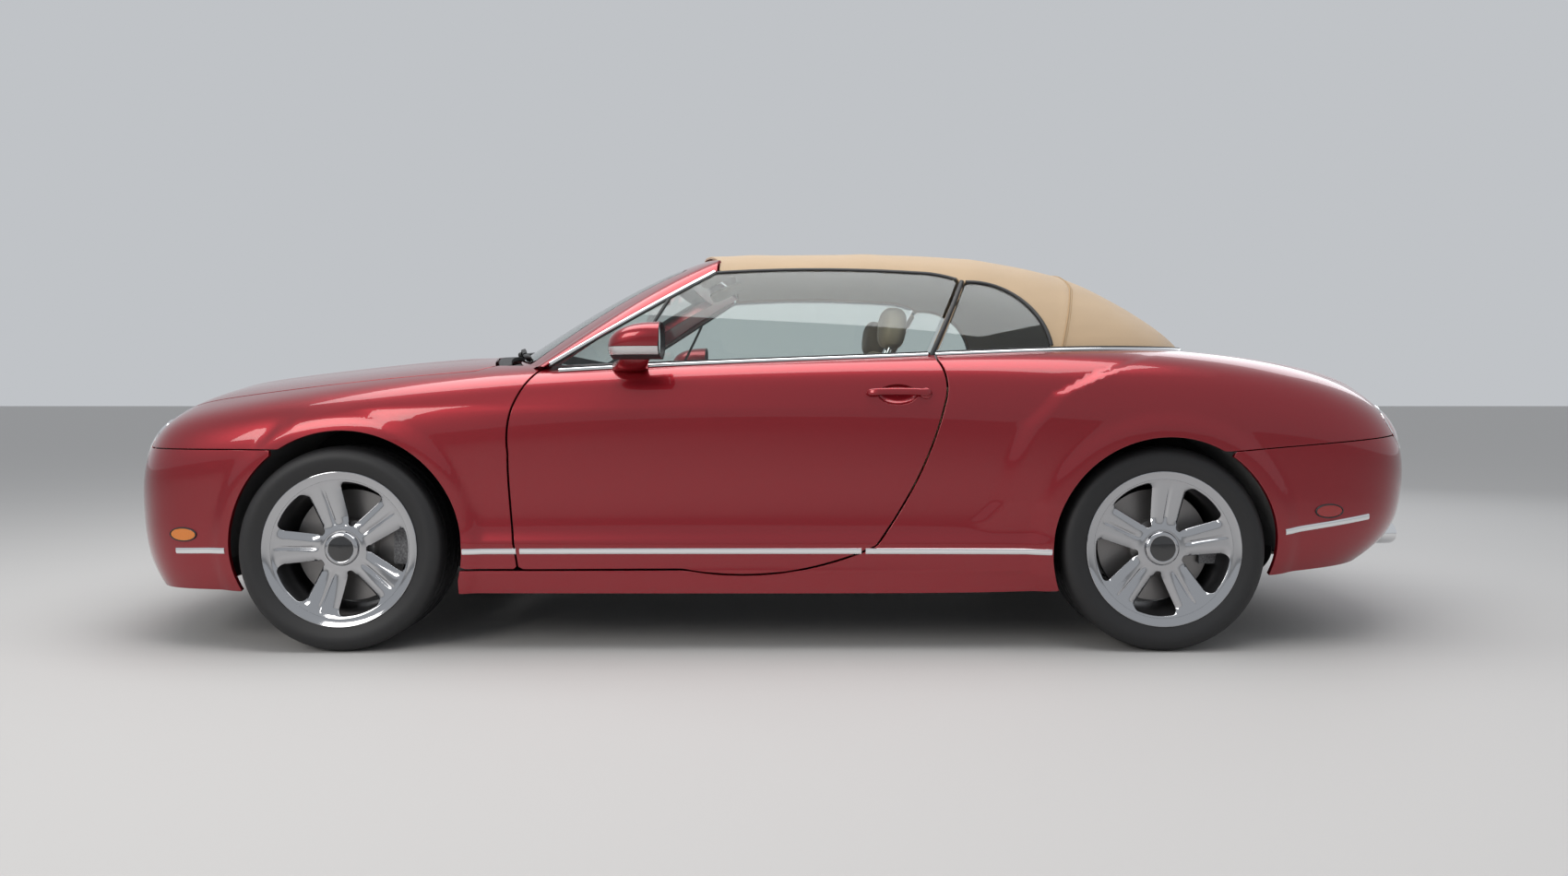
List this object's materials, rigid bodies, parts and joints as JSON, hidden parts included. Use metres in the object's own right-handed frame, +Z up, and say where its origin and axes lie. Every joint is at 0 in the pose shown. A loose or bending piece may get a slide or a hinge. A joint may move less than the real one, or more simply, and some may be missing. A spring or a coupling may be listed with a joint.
{
  "type": "convertible car",
  "caption": "Two-door convertible car with raised fabric roof, opening doors, bonnet and boot lid, steered front wheels and spinning wheels",
  "frame": {"origin": "on the ground, below the middle of the car", "axes": "+X forward, +Y to the car's left, +Z up"},
  "size_m": [4.8103, 2.2122, 1.4078],
  "materials": {
    "paint": "metallic deep red",
    "dark": "matt black",
    "structure": "satin grey",
    "glass": "clear, lightly tinted",
    "fabric": "tan canvas",
    "chrome": "polished",
    "lamp": "clear lens",
    "red_lamp": "red lens",
    "marker": "amber and red lenses",
    "leather": "cream hide",
    "interior": "brown grained",
    "tyre": "black rubber",
    "iron": "machined and cast"
  },
  "bodies": {
    "body": {"structure": "structure", "front_wing_left": "paint", "front_wing_right": "paint", "rear_quarter_left": "paint", "rear_quarter_right": "paint", "scuttle": "dark", "rear_deck": "paint", "front_bumper": "paint", "rear_bumper": "paint", "windscreen": "glass", "windscreen_frame": "paint", "soft_top": "fabric", "rear_glass": "glass", "quarter_glasses": "glass", "headlamps": "lamp", "tail_lamps": "red_lamp", "marker_lamps": "marker", "body_strips": "chrome", "front_arch_liners": "dark", "rear_arch_liners": "dark", "boot_floor": "structure", "subframes": "iron", "front_seats": "leather", "rear_seat": "leather", "dashboard": "interior", "engine_block": "iron", "rear_knuckles": "iron", "grille_mesh": "dark", "exhaust": "iron"},
    "bonnet_body": {"bonnet": "paint"},
    "boot_lid_body": {"boot_lid": "paint"},
    "door_left_body": {"door_left": "paint", "door_glass_left": "glass", "door_strip_left": "chrome", "door_handle_left": "chrome", "mirror_left": "paint"},
    "door_right_body": {"door_right": "paint", "door_glass_right": "glass", "door_strip_right": "chrome", "door_handle_right": "chrome", "mirror_right": "paint"},
    "steering_wheel_body": {"steering_wheel": "leather"},
    "knuckle_left_body": {"front_knuckle_left": "iron"},
    "knuckle_right_body": {"front_knuckle_right": "iron"},
    "front_wheel_left_body": {"front_rim_left": "chrome", "front_tyre_left": "tyre", "front_disc_left": "iron"},
    "front_wheel_right_body": {"front_rim_right": "chrome", "front_tyre_right": "tyre", "front_disc_right": "iron"},
    "rear_wheel_left_body": {"rear_rim_left": "chrome", "rear_tyre_left": "tyre", "rear_disc_left": "iron"},
    "rear_wheel_right_body": {"rear_rim_right": "chrome", "rear_tyre_right": "tyre", "rear_disc_right": "iron"}
  },
  "joints": [
    {"name": "bonnet_hinge", "type": "hinge", "parent": "body", "child": "bonnet_body", "pos_m": [1.082, 0, 1.012], "axis": [0, -1, 0], "range_deg": [0, 50]},
    {"name": "boot_lid_hinge", "type": "hinge", "parent": "body", "child": "boot_lid_body", "pos_m": [-1.65, 0, 1.016], "axis": [0, 1, 0], "range_deg": [0, 70]},
    {"name": "door_left_hinge", "type": "hinge", "parent": "body", "child": "door_left_body", "pos_m": [0.842, 0.936, 0.6], "axis": [0, 0, -1], "range_deg": [0, 62]},
    {"name": "door_right_hinge", "type": "hinge", "parent": "body", "child": "door_right_body", "pos_m": [0.842, -0.936, 0.6], "axis": [0, 0, 1], "range_deg": [0, 62]},
    {"name": "steering_wheel_turn", "type": "hinge", "parent": "body", "child": "steering_wheel_body", "pos_m": [0.52, 0.392, 0.812], "axis": [-0.9135, 0, 0.4067], "range_deg": [-448, 448]},
    {"name": "steer_left", "type": "hinge", "parent": "body", "child": "knuckle_left_body", "pos_m": [1.452, 0.74, 0.343], "axis": [0, 0, 1], "range_deg": [-32, 32]},
    {"name": "steer_right", "type": "hinge", "parent": "body", "child": "knuckle_right_body", "pos_m": [1.452, -0.74, 0.343], "axis": [0, 0, 1], "range_deg": [-32, 32]},
    {"name": "front_wheel_left_spin", "type": "hinge", "parent": "knuckle_left_body", "child": "front_wheel_left_body", "pos_m": [1.452, 0.8115, 0.343], "axis": [0, 1, 0], "continuous": true},
    {"name": "rear_wheel_left_spin", "type": "hinge", "parent": "body", "child": "rear_wheel_left_body", "pos_m": [-1.293, 0.8035, 0.343], "axis": [0, 1, 0], "continuous": true},
    {"name": "front_wheel_right_spin", "type": "hinge", "parent": "knuckle_right_body", "child": "front_wheel_right_body", "pos_m": [1.452, -0.8115, 0.343], "axis": [0, 1, 0], "continuous": true},
    {"name": "rear_wheel_right_spin", "type": "hinge", "parent": "body", "child": "rear_wheel_right_body", "pos_m": [-1.293, -0.8035, 0.343], "axis": [0, 1, 0], "continuous": true}
  ],
  "couplings": [
    {"joint": "steer_left", "follows": "steering_wheel_turn", "ratio": 0.071429},
    {"joint": "steer_right", "follows": "steering_wheel_turn", "ratio": 0.071429}
  ]
}
